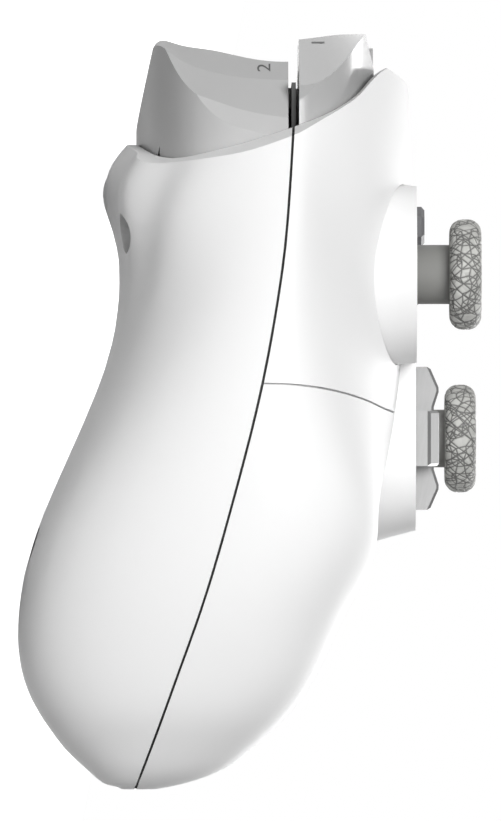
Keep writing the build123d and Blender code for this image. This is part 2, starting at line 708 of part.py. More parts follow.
def make_dpad(parts):
    """The cross, the flange that holds it in and the ball that it rocks on."""
    x, y = dpad
    end = face_height + dpad_end_height
    ridge = face_height + dpad_ridge_height
    saddle = face_height + dpad_saddle_height
    profile = [
        (flange_top - flange_thickness, -dpad_reach), (end, -dpad_reach), (ridge, -dpad_ridge),
        (saddle, -dpad_saddle), (saddle, dpad_saddle), (ridge, dpad_ridge), (end, dpad_reach),
        (flange_top - flange_thickness, dpad_reach),
    ]
    arm = side_prism((-dpad_half_width, dpad_half_width), profile)
    edges = []
    for edge in arm.edges():
        spot = edge.center()
        valley = abs(abs(spot.Y) - dpad_saddle) < seat_gap and abs(spot.X) < seat_gap
        if spot.Z > face_height + dpad_end_height / 2 and not valley:
            edges.append(edge)
    arm = chamfer(edges, dpad_edge)
    cross = Location((x, y, 0)) * (arm + arm.rotate(Axis.Z, 90))
    flange = (flange_top - flange_thickness, flange_top)
    cross = cross + post(x, y, flange, flange_radius)
    cross = cross + post(x, y, (dpad_pivot_height - socket_depth, flange_top), socket_radius)
    for px, py in cluster(dpad, peg_circle):
        cross = cross + post(px, py, (peg_foot, flange_top), peg_radius)
    centre = Plane((x, y, dpad_pivot_height))
    parts["dpad_cap"] = cross - Solid.make_sphere(ball_radius + ball_gap, centre)
    parts["dpad_pivot"] = Solid.make_sphere(ball_radius, centre)


def make_buttons(parts):
    """Face buttons, the small centre buttons, the home button and the light."""
    names = ("top", "right", "bottom", "left")
    for name, (x, y) in zip(names, cluster(button_cluster, button_spacing)):
        button = post(x, y, (button_foot, button_top), button_radius)
        rim = button.edges().filter_by(GeomType.CIRCLE).sort_by(Axis.Z)[-1]
        button = fillet(rim, button_crown)
        flange_end = well_foot + button_flange[1] - seat_gap
        flange = post(x, y, (flange_end - button_flange[1], flange_end), button_flange[0])
        parts["face_button_" + name] = button + flange
    inner_top = face_height - plate_thickness
    flange_grow, flange_thick = centre_flange
    flange = (inner_top - seat_gap - flange_thick, inner_top - seat_gap)
    for name, place in zip(("view", "menu"), boss_places(view_place)[::-1]):
        z = (centre_foot, centre_button_top)
        button = hex_prism(place, z, centre_button_radius, centre_button_bevel)
        parts[name + "_button"] = button + post(*place, flange, centre_button_radius + flange_grow)
    home = post(*home_place, (centre_foot, home_top), home_radius)
    rim = home.edges().filter_by(GeomType.CIRCLE).sort_by(Axis.Z)[-1]
    home = fillet(rim, centre_button_bevel)
    parts["home_button"] = home + post(*home_place, flange, home_radius + flange_grow)
    parts["status_light"] = post(*light_place, (face_height - light_length, face_height), light_radius)


def make_membranes(parts):
    """Rubber sheets with domes under the buttons."""
    sheet = board_bottom + board_thickness + membrane_gap
    top = sheet + membrane_thickness

    def domes(places, foot, crown, height):
        total = None
        for x, y in places:
            dome = Solid.make_cone(foot, crown, height - top, Plane((x, y, top)))
            total = dome if total is None else total + dome
        return total

    x, y = button_cluster
    reach_out = button_spacing + dome_foot + seat_gap
    pad = post(x, y, (sheet, top), reach_out)
    rise = button_foot - button_travel - moving_gap
    places = cluster(button_cluster, button_spacing)
    parts["button_membrane"] = pad + domes(places, dome_foot, dome_crown, rise)
    x, y = dpad
    pad = post(x, y, (sheet, top), peg_circle + small_dome_foot + seat_gap)
    pad = pad - post(x, y, (sheet, top), ball_radius + moving_gap)
    rise = peg_foot - 2 * button_gap - peg_circle * math.sin(math.radians(dpad_tilt))
    places = cluster(dpad, peg_circle)
    parts["dpad_membrane"] = pad + domes(places, small_dome_foot, small_dome_crown, rise)
    places = list(boss_places(view_place)) + [home_place]
    margin = small_dome_foot + seat_gap
    span = abs(view_place[0]) + margin
    low = home_place[1] - margin
    high = view_place[1] + margin
    pad = block((-span, span), (low, high), (sheet, top))
    rise = centre_foot - centre_travel - moving_gap
    parts["centre_membrane"] = pad + domes(places, small_dome_foot, small_dome_crown, rise)


def make_board(parts):
    """The main board with its two sockets, and the screws that hold it."""
    z = (board_bottom, board_bottom + board_thickness)
    w = board_half_width
    board = block((-w, w), board_reach, z)
    wing, low, high = board_wing
    board = board + block((-wing, wing), (low, high), z)
    board = fillet(board.edges().filter_by(Axis.Z), board_corner)
    board = board + block((-board_tongue, board_tongue), (board_reach[0], board_tongue_end), z)
    foot_half, foot_end = board_foot
    board = board + block((-foot_half, foot_half), (foot_end, board_reach[1]), z)
    x, y = dpad
    board = board - post(x, y, z, socket_radius)
    for x, y in board_screws_at():
        board = board - post(x, y, z, board_screw[1] + pin_gap)
    parts["main_board"] = board

    half = usb_half_width
    start = usb_mouth - usb_length
    top = z[1] + usb_height
    body = block((-half, half), (start, usb_mouth), (z[1], top))
    body = fillet(body.edges().filter_by(Axis.Y), usb_round)
    t = usb_shell
    room = block((-half + t, half - t), (start + t, usb_mouth + t), (z[1] + t, top - t))
    room = fillet(room.edges().filter_by(Axis.Y), usb_round - t)
    tongue_half, tongue_thick, tongue_long = usb_tongue
    middle = (z[1] + top) / 2
    tongue = (middle - tongue_thick / 2, middle + tongue_thick / 2)
    socket = body - room + block((-tongue_half, tongue_half), (start, start + tongue_long), tongue)
    parts["usb_socket"] = socket

    half = jack_half_width
    low = 2 * jack_height - board_bottom + seat_gap
    body = block((-half, half), jack_body, (low, board_bottom))
    nose = Plane((0, jack_nose_end, jack_height), z_dir=(0, 1, 0))
    jack = body + Solid.make_cylinder(jack_nose, jack_body[0] - jack_nose_end, nose)
    jack = jack - Solid.make_cylinder(jack_bore, jack_depth, nose)
    parts["headset_jack"] = jack

    head, shank, head_height = board_screw
    screws = []
    frame_top = board_bottom - frame_gap
    for x, y in board_screws_at():
        screw = post(x, y, (z[1], z[1] + head_height), head)
        screws.append(screw + post(x, y, (frame_top - frame_thickness / 2, z[1]), shank))
    parts["board_screws"] = Compound(screws)


def board_screws_at():
    places = []
    for place in board_screw_places:
        places += boss_places(place)
    return places


def make_frame(parts):
    """The plate that carries the board, the battery and the trigger axles."""
    z = (board_bottom - frame_gap - frame_thickness, board_bottom - frame_gap)
    w = board_half_width
    low, high = frame_reach
    frame = block((-w, w), (low, high), z)
    shoulder, top = frame_shoulder
    frame = frame + block((-shoulder, shoulder), (low, top), z)
    for x, y in boss_places(crown_screw):
        frame = frame + post(x, y, z, boss_radius)
        arm = sorted((x, math.copysign(w - board_corner, x)))
        frame = frame + block(arm, (y - boss_radius, y + boss_radius), z)
    half = jack_half_width + seat_gap
    frame = frame - block((-half, half), (0, jack_body[1] + seat_gap), z)
    rib_half, rib_wide, rib_deep = frame_rib
    battery_low = battery_bottom_reach
    battery_high = battery_low + battery_size[1]
    for side in (-1, 1):
        rib = sorted((side * (rib_half + moving_gap), side * (rib_half + moving_gap + rib_wide)))
        frame = frame + block(rib, (battery_low, battery_high), (z[0] - rib_deep, z[0]))
    for x, y in board_screws_at():
        frame = frame + post(x, y, (z[1], board_bottom), board_pad)
        frame = frame - post(x, y, (z[0], board_bottom), board_screw[1] + membrane_gap)
    x, y = dpad
    frame = frame + post(x, y, (z[1], dpad_pivot_height - ball_radius + ball_gap), ball_radius)
    frame = frame - Solid.make_sphere(ball_radius + ball_gap / 2, Plane((x, y, dpad_pivot_height)))

    pivot_z, pivot_y = trigger_pivot
    half = bracket_half
    for side in (-1, 1):
        for span, start in ((inner_bracket, frame_shoulder[1]), (outer_bracket, frame_reach[1])):
            x = sorted((side * span[0], side * span[1]))
            bracket = block(x, (start - wall, pivot_y), (pivot_z - half, z[1]))
            tip = Plane((x[0], pivot_y, pivot_z), z_dir=(1, 0, 0))
            frame = frame + bracket + Solid.make_cylinder(half - seat_gap, x[1] - x[0], tip)
        x = sorted((side * web_span[0], side * web_span[1]))
        frame = frame + block(x, (frame_reach[1] - wall, web_end), web_height)
        x0, x1, y0, y1, high = switch_shelf
        x = sorted((side * x0, side * x1))
        frame = frame + block(x, (y0, y1), (web_height[0], high))
        hole = Plane((side * axle_span[0], pivot_y, pivot_z), z_dir=(side, 0, 0))
        frame = frame - Solid.make_cylinder(axle_radius + membrane_gap, axle_span[1] - axle_span[0], hole)
    for x, y in boss_places(crown_screw):
        frame = frame - post(x, y, (z[1], web_height[1] + seat_gap), boss_radius + seat_gap)
    for x, y, top, seat, end in screw_seats():
        frame = frame - post(x, y, (top - overrun, top + frame_thickness + overrun), screw_radius + pin_gap)
    parts["inner_frame"] = frame

    long, wide, thick = battery_size
    top = z[0] - seat_gap
    battery = block((-long / 2, long / 2), (battery_low, battery_high), (top - thick, top))
    battery_round = thick / 4
    parts["battery_pack"] = fillet(battery.edges().filter_by(Axis.Y), battery_round)


def trigger_profile(shares, drop):
    """The top edge of a trigger or bumper at one station."""
    return [(z * reach, y * reach - drop) for z, y in shares]


def lofted_block(stations, tables, fall, foot, heel, front_line):
    """A ruled block across stations, with its top edge from the tables."""
    wires = []
    edge = front_line + [heel, foot]
    tops = list(tables) + [tables[-1]]
    drops = [0.0] * len(tables) + [fall]
    if len(stations) > len(tops):
        tops = [tables[0]] + tops
        drops = [0.0] + drops
    for x, table, drop in zip(stations, tops, drops):
        top = trigger_profile(table, drop)
        corners = [top[-1]] + [(z, y - drop) for z, y in edge] + [top[0]]
        wires.append(side_wire(x, corners, top))
    return Solid.make_loft(wires, ruled=True)


def make_triggers(parts):
    """Triggers on their axles, with springs and sensor boards."""
    below = trigger_foot[1] - overrun
    bay = bay_prism(moving_gap, (below, crown_top_share * reach))
    pivot_z, pivot_y = trigger_pivot
    front_line = [(trigger_front, pivot_y)]
    foot = (trigger_foot[0] - overrun, trigger_foot[1])
    solid = lofted_block(trigger_span, trigger_shares, trigger_fall, foot, trigger_heel, front_line)
    w = trigger_wall
    room = [
        (trigger_heel[0] + w, below), (trigger_heel[0] + w, pivot_y + w), trigger_room[1],
        trigger_room[0], (trigger_foot[0] + w, below),
    ]
    body = (solid & bay) - side_prism((trigger_span[0] + w, trigger_span[2] - w), room)
    boss_line = Plane((trigger_span[0], pivot_y, pivot_z), z_dir=(1, 0, 0))
    body = body + Solid.make_cylinder(hub_boss, trigger_span[1] + overrun - trigger_span[0], boss_line)
    radius = bracket_half + moving_gap
    slot_line = Plane((slot_span[0], pivot_y, pivot_z), z_dir=(1, 0, 0))
    body = body - Solid.make_cylinder(radius, slot_span[1] - slot_span[0], slot_line)
    swing = (pivot_y - below) * math.sin(math.radians(trigger_pull))
    body = body - block(slot_span, (below, pivot_y), (pivot_z - radius - swing, pivot_z + radius))
    x, y = crown_screw
    notch = (x - boss_radius - moving_gap, x + boss_radius + moving_gap)
    body = body - block(notch, (below, trigger_notch), (-reach, reach))
    axle_line = Plane((axle_span[0], pivot_y, pivot_z), z_dir=(1, 0, 0))
    axle_length = axle_span[1] - axle_span[0]
    body = body - Solid.make_cylinder(axle_radius + pin_gap, axle_length + seat_gap, axle_line)
    parts["right_trigger"] = body
    parts["right_trigger_axle"] = Solid.make_cylinder(axle_radius, axle_length, axle_line)
    spring_length = spring_span[1] - spring_span[0]
    path = Edge.make_helix(spring_length / spring_turns, spring_length, spring_coil)
    path = Plane((spring_span[0], pivot_y, pivot_z), z_dir=(1, 0, 0)).location * path
    start = path @ 0
    section_plane = Plane(start, z_dir=path % 0)
    parts["right_trigger_spring"] = sweep(section_plane * Circle(spring_wire), path)
    x0, x1, y0, y1, thick = sensor_board
    top = board_bottom - frame_gap - frame_thickness
    parts["right_trigger_sensor"] = block((x0, x1), (y0, y1), (top - thick, top))


def make_bumpers(parts):
    """Bumpers with the lugs that they turn on, and the switches under them."""
    below = bumper_foot - overrun
    bay = bay_prism(moving_gap, (below, crown_top_share * reach))
    front = [bumper_front, (bumper_front[0], bumper_foot)]
    foot = (bumper_rear, bumper_foot)
    heel = (bumper_rear + overrun, bumper_foot)
    solid = lofted_block(bumper_span, bumper_shares, bumper_fall, foot, heel, front)
    w = bumper_wall
    rear_wall = bumper_rear + w
    front_wall = bumper_front[0] - w
    room = [
        (rear_wall, below), (rear_wall, bumper_room[0]), bumper_room[1],
        (front_wall, bumper_room[2]), (front_wall, below),
    ]
    body = (solid & bay) - side_prism((bumper_span[0] + w, bumper_room_end), room)
    start, half, low, high = bumper_lug
    x, y = bumper_pivot
    body = body + block((start, bumper_span[0] + w), (y - half, y + half), (low, high))
    radius, pin_low, pin_high = bumper_pin
    body = body - post(x, y, (low - overrun, high + overrun), radius + pin_gap)
    x0, x1, z0, z1, tip = plunger
    body = body + block((x0, x1), (tip, bumper_room[0]), (z0, z1))
    body = body - block((x0 - w, x1 + w), (below, tip), (-reach, z1))
    parts["right_bumper"] = body
    x0, x1, y0, y1, high = switch_shelf
    middle_x = (x0 + x1) / 2
    middle_z = (web_height[1] + high) / 2
    wide, tall, deep = switch_size
    switch = Pos(middle_x - wide / 2, y1, middle_z - deep / 2) * Solid.make_box(wide, tall, deep)
    cap = Plane((middle_x, y1 + tall, middle_z), z_dir=(0, 1, 0))
    parts["right_bumper_switch"] = switch + Solid.make_cylinder(switch_button[0], switch_button[1], cap)
    pins = [post(side * x, y, (pin_low, pin_high), radius) for side in (-1, 1)]
    parts["bumper_pins"] = Compound(pins)


def make_bridge(parts):
    """The centre piece between the bumpers, with the charging port's opening."""
    rear_top = [(z * reach, y * reach) for z, y in bridge_rear_shares]
    half = bridge_rear_half
    corners = [rear_top[-1], (rear_top[-1][0], bridge_foot), (bridge_rear_foot, bridge_foot), rear_top[0]]
    rear = extrude(Face(side_wire(-half, corners, rear_top)), 2 * half, (1, 0, 0))
    half = bridge_front_half
    front = block((-half, half), (bridge_foot, bridge_top), (bumper_rear, bridge_front))
    front = fillet(front.edges().filter_by(Axis.Z).group_by(Axis.Y)[-1], wall)
    neck = (rear_top[-1][0] - overrun, bumper_rear + overrun)
    front = front + block((-half, half), (bridge_foot, rear_top[-1][1]), neck)
    bay = bay_prism(moving_gap, (bridge_foot - overrun, crown_top_share * reach))
    body = (rear + front) & bay
    board = (board_bottom - seat_gap, board_bottom + board_thickness + seat_gap)
    half = board_tongue + seat_gap
    body = body - block((-half, half), (bridge_foot, board_tongue_end + seat_gap), board)
    half = usb_half_width + plug_gap
    top = board_bottom + board_thickness + usb_height
    port = block((-half, half), (bridge_foot, bridge_top + overrun), (board[1] - seat_gap, top + plug_gap))
    body = body - port
    start, lug_half, low, high = bumper_lug
    x, y = bumper_pivot
    radius, pin_low, pin_high = bumper_pin
    for side in (-1, 1):
        pocket = sorted((side * (start - moving_gap), side * (bridge_front_half + overrun)))
        reach_y = (y - lug_half - moving_gap, y + lug_half + moving_gap)
        body = body - block(pocket, reach_y, (low - moving_gap, high + moving_gap))
        body = body - post(side * x, y, (pin_low, pin_high), radius + membrane_gap)
        notch = sorted((side * (inner_bracket[0] - seat_gap), side * (bridge_rear_half + overrun)))
        room_z = (trigger_pivot[0] - bracket_half - seat_gap, board_bottom)
        body = body - block(notch, (bridge_foot, trigger_pivot[1] + bracket_half + seat_gap), room_z)
    parts["top_bridge"] = body


def make_rumble(parts):
    """A motor in each grip, with the weight on its shaft."""
    x, y = motor_place
    low, high = motor_height
    shaft_bore, shaft_end = motor_shaft
    motor = post(x, y, (low, high), motor_radius)
    motor = fillet(motor.edges().filter_by(GeomType.CIRCLE).sort_by(Axis.Z)[-1], shaft_bore)
    parts["right_rumble_motor"] = motor + post(x, y, (high, shaft_end), shaft_bore)
    low, high = weight_height
    weight = post(x, y, (low, high), weight_radius)
    weight = weight - block((x - weight_radius, x + weight_radius), (y, y + weight_radius), (low, high))
    weight = weight + post(x, y, (low, high), weight_hub)
    parts["right_rumble_weight"] = weight - post(x, y, (low, high), shaft_bore + pin_gap / 2)


def make_screws(parts):
    screws = []
    head, head_height = screw_head
    for x, y, top, seat, end in screw_seats():
        screw = post(x, y, (seat - head_height, seat), head)
        screws.append(screw + post(x, y, (seat, end), screw_radius))
    parts["shell_screws"] = Compound(screws)


def build():
    """All pieces by name, in the face's frame."""
    parts = {}
    front, rear, panel = make_housing()
    parts["front_shell"] = front
    parts["rear_shell"] = rear
    parts["right_grip_panel"] = panel
    parts["faceplate"] = make_faceplate()
    make_stick("left", left_stick, parts)
    make_stick("right", right_stick, parts)
    make_dpad(parts)
    make_buttons(parts)
    make_membranes(parts)
    make_board(parts)
    make_frame(parts)
    make_triggers(parts)
    make_bumpers(parts)
    make_bridge(parts)
    make_rumble(parts)
    make_screws(parts)
    for name in list(parts):
        if name.startswith("right_") and "stick" not in name:
            parts["left_" + name[6:]] = mirrored(parts[name])
    return parts


def places(stand):
    """Where the joints and mounts sit once the part stands on its back, with their axes."""
    x, y = bumper_pivot
    pivot_z, pivot_y = trigger_pivot
    motor_x, motor_y = motor_place
    across = (1, 0, 0)
    up = (0, 1, 0)
    out = (0, 0, 1)
    spots = {
        "left_stick": (*left_stick, stick_pivot, across),
        "right_stick": (*right_stick, stick_pivot, across),
        "dpad": (*dpad, dpad_pivot_height, across),
        "face": (0, 0, face_height, out),
        "grip": (0, 0, 0, up),
        "trigger": (trigger_span[0], pivot_y, pivot_z, across),
        "bumper": (x, y, bumper_pin[1], out),
        "motor": (motor_x, motor_y, motor_height[1], out),
        "usb": (0, usb_mouth, board_bottom + board_thickness + usb_height / 2, up),
        "jack": (0, jack_nose_end, jack_height, up),
    }
    lines = {}
    for name, (px, py, pz, axis) in spots.items():
        start = (stand * Pos(px, py, pz)).position
        end = (stand * Pos(px + axis[0], py + axis[1], pz + axis[2])).position
        place = [round(value / (1000 * MM), 6) for value in start]
        lines[name] = (place, [round(value, 6) for value in end - start])
    return lines


if __name__ == "__main__":
    os.makedirs("parts", exist_ok=True)
    made = build()
    leant = Rotation(-rest_tilt, 0, 0)
    spots = []
    for shape in made.values():
        spots += (leant * shape).tessellate(bounds_tolerance)[0]
    middle = (min(spot.Y for spot in spots) + max(spot.Y for spot in spots)) / 2
    stand = Pos(0, -middle, -min(spot.Z for spot in spots)) * leant
    for name, shape in made.items():
        export_step(stand * shape, "parts/" + name + ".step")
    for name, spot in places(stand).items():
        print(name, spot)
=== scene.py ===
import math
import random

import bmesh
import bpy
from mathutils import Matrix, Vector
from mathutils.bvhtree import BVHTree


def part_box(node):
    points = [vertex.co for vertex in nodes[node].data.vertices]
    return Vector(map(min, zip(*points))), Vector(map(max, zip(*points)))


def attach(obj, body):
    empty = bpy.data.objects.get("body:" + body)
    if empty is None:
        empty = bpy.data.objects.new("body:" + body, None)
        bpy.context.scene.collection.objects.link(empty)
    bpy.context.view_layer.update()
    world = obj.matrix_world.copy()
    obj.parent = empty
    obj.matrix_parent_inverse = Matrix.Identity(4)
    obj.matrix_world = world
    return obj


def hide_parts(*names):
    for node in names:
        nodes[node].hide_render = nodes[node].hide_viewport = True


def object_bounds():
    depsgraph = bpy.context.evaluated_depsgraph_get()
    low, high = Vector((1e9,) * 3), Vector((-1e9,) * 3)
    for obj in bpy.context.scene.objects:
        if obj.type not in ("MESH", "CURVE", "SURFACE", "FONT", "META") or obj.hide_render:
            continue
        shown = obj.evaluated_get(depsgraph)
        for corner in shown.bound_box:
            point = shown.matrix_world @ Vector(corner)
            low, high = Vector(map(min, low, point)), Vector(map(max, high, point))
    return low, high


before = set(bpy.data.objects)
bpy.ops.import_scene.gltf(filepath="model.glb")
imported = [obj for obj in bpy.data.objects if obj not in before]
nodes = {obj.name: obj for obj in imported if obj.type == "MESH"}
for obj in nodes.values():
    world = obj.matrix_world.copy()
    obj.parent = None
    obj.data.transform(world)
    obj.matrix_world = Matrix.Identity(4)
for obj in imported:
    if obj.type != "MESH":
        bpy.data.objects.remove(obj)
cadBox = [list(corner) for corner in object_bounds()]
mm = 0.001

# The part lies on its back, so its face leans. The face's own axes are x, y up the grips
# and z out of the face
lean = {"degrees": 11.2, "node": "dpad_pivot", "at": (-22.0, 49.0, 50.5)}
turn = Matrix.Rotation(math.radians(-lean["degrees"]), 4, "X")
low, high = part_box(lean["node"])
faceOrigin = (low + high) / 2 - turn @ (Vector(lean["at"]) * mm)
faceMatrix = Matrix.Translation(faceOrigin) @ turn


def onFace(x, y, z):
    return faceMatrix @ (Vector((x, y, z)) * mm)


print("frame loaded,", len(nodes), "nodes")

# Camera
shot = {
    "lens": 800.0, "sensor": 36.0, "clip": (0.05, 60.0),
    "pixelsPerMm": 7.17, "picture": (501, 821), "origin": (18.0, 790.0), "plane": -56.0,
}


def makeCamera():
    width, height = shot["picture"]
    scale = shot["pixelsPerMm"]
    z = (width / 2 - shot["origin"][0]) / scale
    y = (shot["origin"][1] - height / 2) / scale
    distance = height / scale * shot["lens"] / shot["sensor"]
    data = bpy.data.cameras.new("camera")
    data.lens = shot["lens"]
    data.sensor_width = shot["sensor"]
    data.clip_start, data.clip_end = shot["clip"]
    camera = bpy.data.objects.new("camera", data)
    bpy.context.scene.collection.objects.link(camera)
    right = turn.to_3x3() @ Vector((0, 0, 1))
    up = turn.to_3x3() @ Vector((0, 1, 0))
    pose = Matrix((right, up, Vector((-1, 0, 0)))).transposed().to_4x4()
    camera.matrix_world = Matrix.Translation(onFace(shot["plane"] - distance, y, z)) @ pose
    bpy.context.scene.camera = camera


makeCamera()
print("camera set")


# Node helpers
def newMaterial(name):
    material = bpy.data.materials.new(name)
    material.use_nodes = True
    tree = material.node_tree
    shader = tree.nodes["Principled BSDF"]
    return material, tree, shader


def addNode(tree, kind, **values):
    node = tree.nodes.new(kind)
    for name, value in values.items():
        setattr(node, name, value)
    return node


def objectSpot(tree, scale=(1, 1, 1)):
    spot = addNode(tree, "ShaderNodeTexCoord")
    mapping = addNode(tree, "ShaderNodeMapping")
    mapping.inputs["Scale"].default_value = scale
    tree.links.new(spot.outputs["Object"], mapping.inputs["Vector"])
    return mapping.outputs["Vector"]


def noise(tree, vector, scale, detail=2.0, rough=0.5):
    node = addNode(tree, "ShaderNodeTexNoise")
    node.inputs["Scale"].default_value = scale
    node.inputs["Detail"].default_value = detail
    node.inputs["Roughness"].default_value = rough
    tree.links.new(vector, node.inputs["Vector"])
    return node.outputs["Fac"]


def ramp(tree, factor, stops):
    node = addNode(tree, "ShaderNodeValToRGB")
    elements = node.color_ramp.elements
    while len(elements) < len(stops):
        elements.new(0.5)
    for element, (place, colour) in zip(elements, stops):
        element.position = place
        element.color = (*colour, 1)
    tree.links.new(factor, node.inputs["Fac"])
    return node.outputs["Color"]


def rangeOf(tree, factor, low, high):
    node = addNode(tree, "ShaderNodeMapRange")
    node.inputs["To Min"].default_value = low
    node.inputs["To Max"].default_value = high
    tree.links.new(factor, node.inputs["Value"])
    return node.outputs["Result"]


def bump(tree, height, strength, distance):
    node = addNode(tree, "ShaderNodeBump")
    node.inputs["Strength"].default_value = strength
    node.inputs["Distance"].default_value = distance
    tree.links.new(height, node.inputs["Height"])
    return node.outputs["Normal"]


def shade(colour, amount):
    return tuple(max(0.0, min(1.0, c * amount)) for c in colour)


# How every moulding's shade and gloss vary, and how dark a ring's grooves are beside its chips
grainMix = {"broad": 22.0, "gloss": 0.04, "strength": 0.5, "coatGloss": 0.12}
chips = {"scale": 700.0, "dull": 0.86, "bright": 1.1, "groove": 0.16}
brush = {"scale": 4.0, "shade": (0.9, 1.06), "gloss": (-0.06, 0.08), "strength": 0.6}


def chippedTint(tree, spot, colour, groove):
    # chips of uneven shade between dark grooves, which the mesh keeps as an attribute
    chip = addNode(tree, "ShaderNodeTexVoronoi")
    chip.inputs["Scale"].default_value = chips["scale"]
    tree.links.new(spot, chip.inputs["Vector"])
    ends = [(0.2, shade(colour, chips["dull"])), (0.8, shade(colour, chips["bright"]))]
    cut = addNode(tree, "ShaderNodeAttribute", attribute_name=groove)
    mix = addNode(tree, "ShaderNodeMix", data_type="RGBA")
    mix.inputs["B"].default_value = (*shade(colour, chips["groove"]), 1)
    tree.links.new(cut.outputs["Fac"], mix.inputs["Factor"])
    tree.links.new(ramp(tree, chip.outputs["Color"], ends), mix.inputs["A"])
    return mix.outputs["Result"]


def moulded(
    name, colour, roughness, grain=0.00045, depth=0.000012, spread=0.02, coat=0.0, specular=0.5, groove=None
):
    # faint shade changes, a fine grain and uneven gloss
    material, tree, shader = newMaterial(name)
    spot = objectSpot(tree)
    fine = noise(tree, spot, 1.0 / grain, 3.0, 0.6)
    if groove:
        tint = chippedTint(tree, spot, colour, groove)
    else:
        broad = noise(tree, spot, grainMix["broad"], 3.0)
        tint = ramp(tree, broad, [(0.3, shade(colour, 1 - spread)), (0.7, shade(colour, 1 + spread))])
    tree.links.new(tint, shader.inputs["Base Color"])
    gloss = rangeOf(tree, fine, roughness - grainMix["gloss"], roughness + grainMix["gloss"])
    tree.links.new(gloss, shader.inputs["Roughness"])
    tree.links.new(bump(tree, fine, grainMix["strength"], depth), shader.inputs["Normal"])
    shader.inputs["Coat Weight"].default_value = coat
    shader.inputs["Coat Roughness"].default_value = grainMix["coatGloss"]
    shader.inputs["Specular IOR Level"].default_value = specular
    return material


def brushed(name, colour, roughness, stretch=(400.0, 30.0, 400.0), depth=0.000006):
    # fine lines drawn along the grips
    material, tree, shader = newMaterial(name)
    lines = noise(tree, objectSpot(tree, stretch), brush["scale"], 4.0, 0.7)
    dull, bright = (shade(colour, share) for share in brush["shade"])
    tree.links.new(ramp(tree, lines, [(0.25, dull), (0.75, bright)]), shader.inputs["Base Color"])
    smooth, rough = (roughness + change for change in brush["gloss"])
    tree.links.new(rangeOf(tree, lines, smooth, rough), shader.inputs["Roughness"])
    tree.links.new(bump(tree, lines, brush["strength"], depth), shader.inputs["Normal"])
    shader.inputs["Metallic"].default_value = 1.0
    return material


finishes = {
    "shell": moulded("whiteShell", (0.86, 0.86, 0.86), 0.5, spread=0.006, specular=0.3),
    "plate": moulded("whitePlate", (0.86, 0.86, 0.86), 0.46, spread=0.006, specular=0.3),
    "trigger": moulded("greyTrigger", (0.46, 0.46, 0.46), 0.45, spread=0.01, specular=0.35),
    "bumper": moulded("greyBumper", (0.37, 0.37, 0.37), 0.25, depth=0.000003, spread=0.01, coat=0.1),
    "stem": moulded(
        "stickRubber", (0.25, 0.25, 0.24), 0.6, grain=0.0003, depth=0.00002, spread=0.05, specular=0.3
    ),
    "ring": moulded(
        "castRing", (0.5, 0.5, 0.48), 0.55, grain=0.0002, depth=0.00002, groove="groove"
    ),
    "pad": brushed("padSatin", (0.24, 0.24, 0.24), 0.45),
    # the bevels' metal is darker than the faces': a painted dark reflection on a real, smoother polish
    "padEdge": brushed("padEdge", (0.16, 0.16, 0.16), 0.3),
    "dark": moulded("darkButton", (0.13, 0.13, 0.135), 0.42, depth=0.000004, spread=0.04, specular=0.25),
    "button": moulded("buttonCap", (0.09, 0.09, 0.095), 0.3, depth=0.000004, spread=0.04, coat=0.3),
    "light": moulded("lightPipe", (0.8, 0.88, 0.92), 0.2, depth=0.000002),
    "black": moulded("blackPart", (0.03, 0.03, 0.03), 0.55, spread=0.1),
    "board": moulded("circuitBoard", (0.02, 0.09, 0.05), 0.35, spread=0.15),
    "steel": brushed("platedSteel", (0.5, 0.5, 0.5), 0.35),
    "wrap": moulded("batteryWrap", (0.05, 0.06, 0.08), 0.4, spread=0.1),
    "silicone": moulded("silicone", (0.35, 0.35, 0.35), 0.6, spread=0.05),
    "port": brushed("portMetal", (0.55, 0.55, 0.56), 0.3),
    "ink": moulded("darkInk", (0.03, 0.03, 0.03), 0.5, spread=0.1),
    "paint": moulded("palePaint", (0.7, 0.7, 0.7), 0.45, spread=0.03),
}
worn = {
    "front_shell": "shell", "rear_shell": "shell", "left_grip_panel": "shell", "right_grip_panel": "shell",
    "faceplate": "plate", "top_bridge": "bumper", "left_bumper": "bumper", "right_bumper": "bumper",
    "left_trigger": "trigger", "right_trigger": "trigger",
    "left_stick_cap": "stem", "right_stick_cap": "stem",
    "left_stick_ring": "ring", "right_stick_ring": "ring", "dpad_cap": "pad", "view_button": "dark",
    "menu_button": "dark", "home_button": "dark", "face_button_top": "button", "face_button_right": "button",
    "face_button_bottom": "button", "face_button_left": "button", "status_light": "light",
    "inner_frame": "black", "main_board": "board", "usb_socket": "port", "headset_jack": "black",
    "battery_pack": "wrap", "button_membrane": "silicone", "dpad_membrane": "silicone",
    "centre_membrane": "silicone", "left_trigger_sensor": "board", "right_trigger_sensor": "board",
    "left_stick_module": "black", "right_stick_module": "black", "left_stick_gimbal": "black",
    "right_stick_gimbal": "black", "left_stick_shaft": "black", "right_stick_shaft": "black",
    "left_bumper_switch": "black", "right_bumper_switch": "black",
}


def wear(piece, finish):
    piece.data.materials.clear()
    piece.data.materials.append(finishes[finish])


for name, node in nodes.items():
    wear(node, worn.get(name, "steel"))


padSlopes = {"flat": 0.85, "steep": 0.3, "corner": 0.4}


def polishPadEdgesWithPaintedReflection():
    # the narrow bevels of the cross, told from its faces by their slopes, get a smoother metal of darker
    # colour: real polish, and a painted dark reflection
    mesh = nodes["dpad_cap"].data
    mesh.materials.append(finishes["padEdge"])
    back = turn.to_3x3().inverted()
    for poly in mesh.polygons:
        x, y, z = (abs(value) for value in back @ poly.normal)
        corner = z < padSlopes["steep"] and min(x, y) > padSlopes["corner"]
        if corner or padSlopes["steep"] < z < padSlopes["flat"]:
            poly.material_index = 1


polishPadEdgesWithPaintedReflection()
print("finishes on every node")
